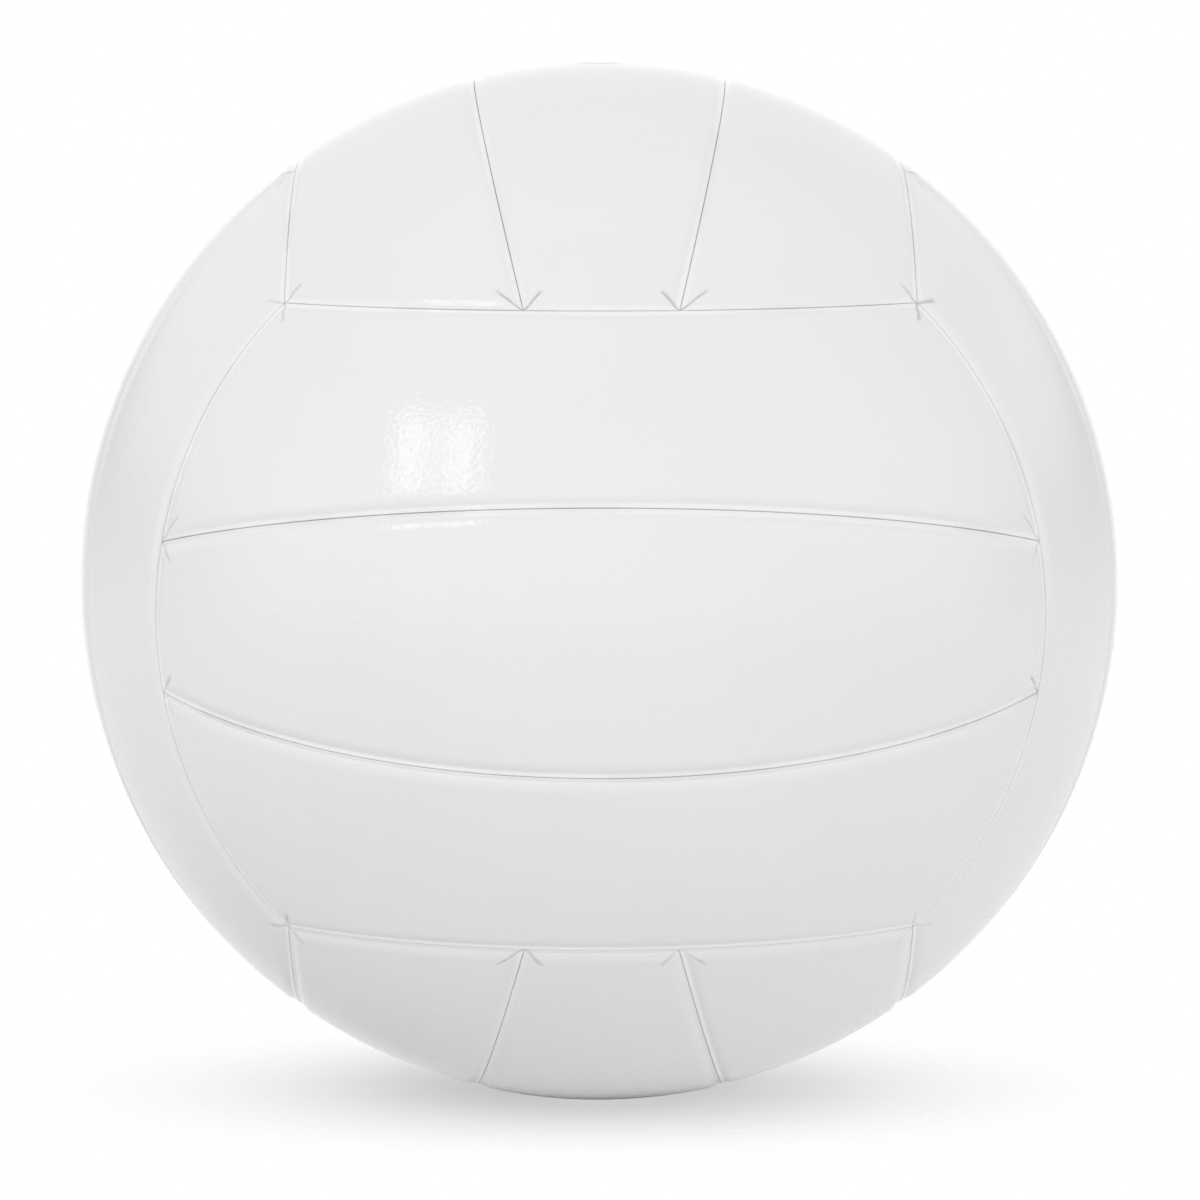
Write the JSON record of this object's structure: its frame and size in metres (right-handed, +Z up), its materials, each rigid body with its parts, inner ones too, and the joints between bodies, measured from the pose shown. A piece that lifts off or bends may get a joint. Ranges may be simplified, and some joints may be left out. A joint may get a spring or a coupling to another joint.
{
  "type": "volleyball",
  "caption": "White indoor volleyball with rolled, foam-backed cover panels in interlocking groups, a wound carcass, an inflatable bladder and a needle valve at the top",
  "frame": {"origin": "centre of the ball", "axes": "+Z up through the valve, the front group of panels faces -Y, +X to the viewer's right"},
  "size_m": [0.21, 0.21, 0.2099],
  "materials": {
    "cover_skin": "smooth satin PVC synthetic leather",
    "foam_backing": "closed-cell foam backing",
    "carcass_rubber": "matte natural rubber",
    "nylon_thread": "wound nylon thread",
    "bladder_rubber": "smooth butyl rubber",
    "valve_rubber": "matte white rubber"
  },
  "bodies": {
    "root": {"front_lower_panel": "cover_skin", "front_middle_panel": "cover_skin", "front_upper_panel": "cover_skin", "back_lower_panel": "cover_skin", "back_middle_panel": "cover_skin", "back_upper_panel": "cover_skin", "left_front_panel": "cover_skin", "left_middle_panel": "cover_skin", "left_rear_panel": "cover_skin", "right_front_panel": "cover_skin", "right_middle_panel": "cover_skin", "right_rear_panel": "cover_skin", "top_left_panel": "cover_skin", "top_middle_panel": "cover_skin", "top_right_panel": "cover_skin", "bottom_left_panel": "cover_skin", "bottom_middle_panel": "cover_skin", "bottom_right_panel": "cover_skin", "front_lower_foam": "foam_backing", "front_middle_foam": "foam_backing", "front_upper_foam": "foam_backing", "back_lower_foam": "foam_backing", "back_middle_foam": "foam_backing", "back_upper_foam": "foam_backing", "left_front_foam": "foam_backing", "left_middle_foam": "foam_backing", "left_rear_foam": "foam_backing", "right_front_foam": "foam_backing", "right_middle_foam": "foam_backing", "right_rear_foam": "foam_backing", "top_left_foam": "foam_backing", "top_middle_foam": "foam_backing", "top_right_foam": "foam_backing", "bottom_left_foam": "foam_backing", "bottom_middle_foam": "foam_backing", "bottom_right_foam": "foam_backing", "carcass": "carcass_rubber", "nylon_winding": "nylon_thread", "bladder": "bladder_rubber", "valve_housing": "bladder_rubber", "valve_plug": "valve_rubber"}
  },
  "joints": []
}
